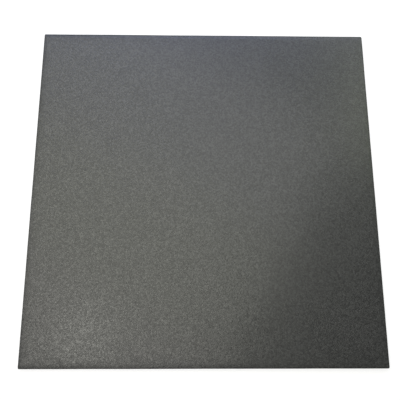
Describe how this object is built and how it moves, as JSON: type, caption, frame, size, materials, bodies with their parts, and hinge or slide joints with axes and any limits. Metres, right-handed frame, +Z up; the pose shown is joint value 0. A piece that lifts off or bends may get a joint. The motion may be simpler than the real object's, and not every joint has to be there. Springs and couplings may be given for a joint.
{
  "type": "rubber gym floor tile",
  "caption": "Square, flat tile of pressed black rubber with a fine pebbled top, laid loose and butted edge to edge as gym flooring.",
  "frame": {"origin": "centre of the underside, on the floor that the tile lies on", "axes": "+Z up out of the pebbled training face, +X along the front edge to the right, +Y from the front edge to the back edge"},
  "size_m": [1, 1, 0.015],
  "materials": {
    "rubber": "moulded black rubber, semi-matt, with a fine pebble grain on the top face and plain upright faces"
  },
  "bodies": {
    "root": {"rubber_tile": "rubber"}
  },
  "joints": []
}
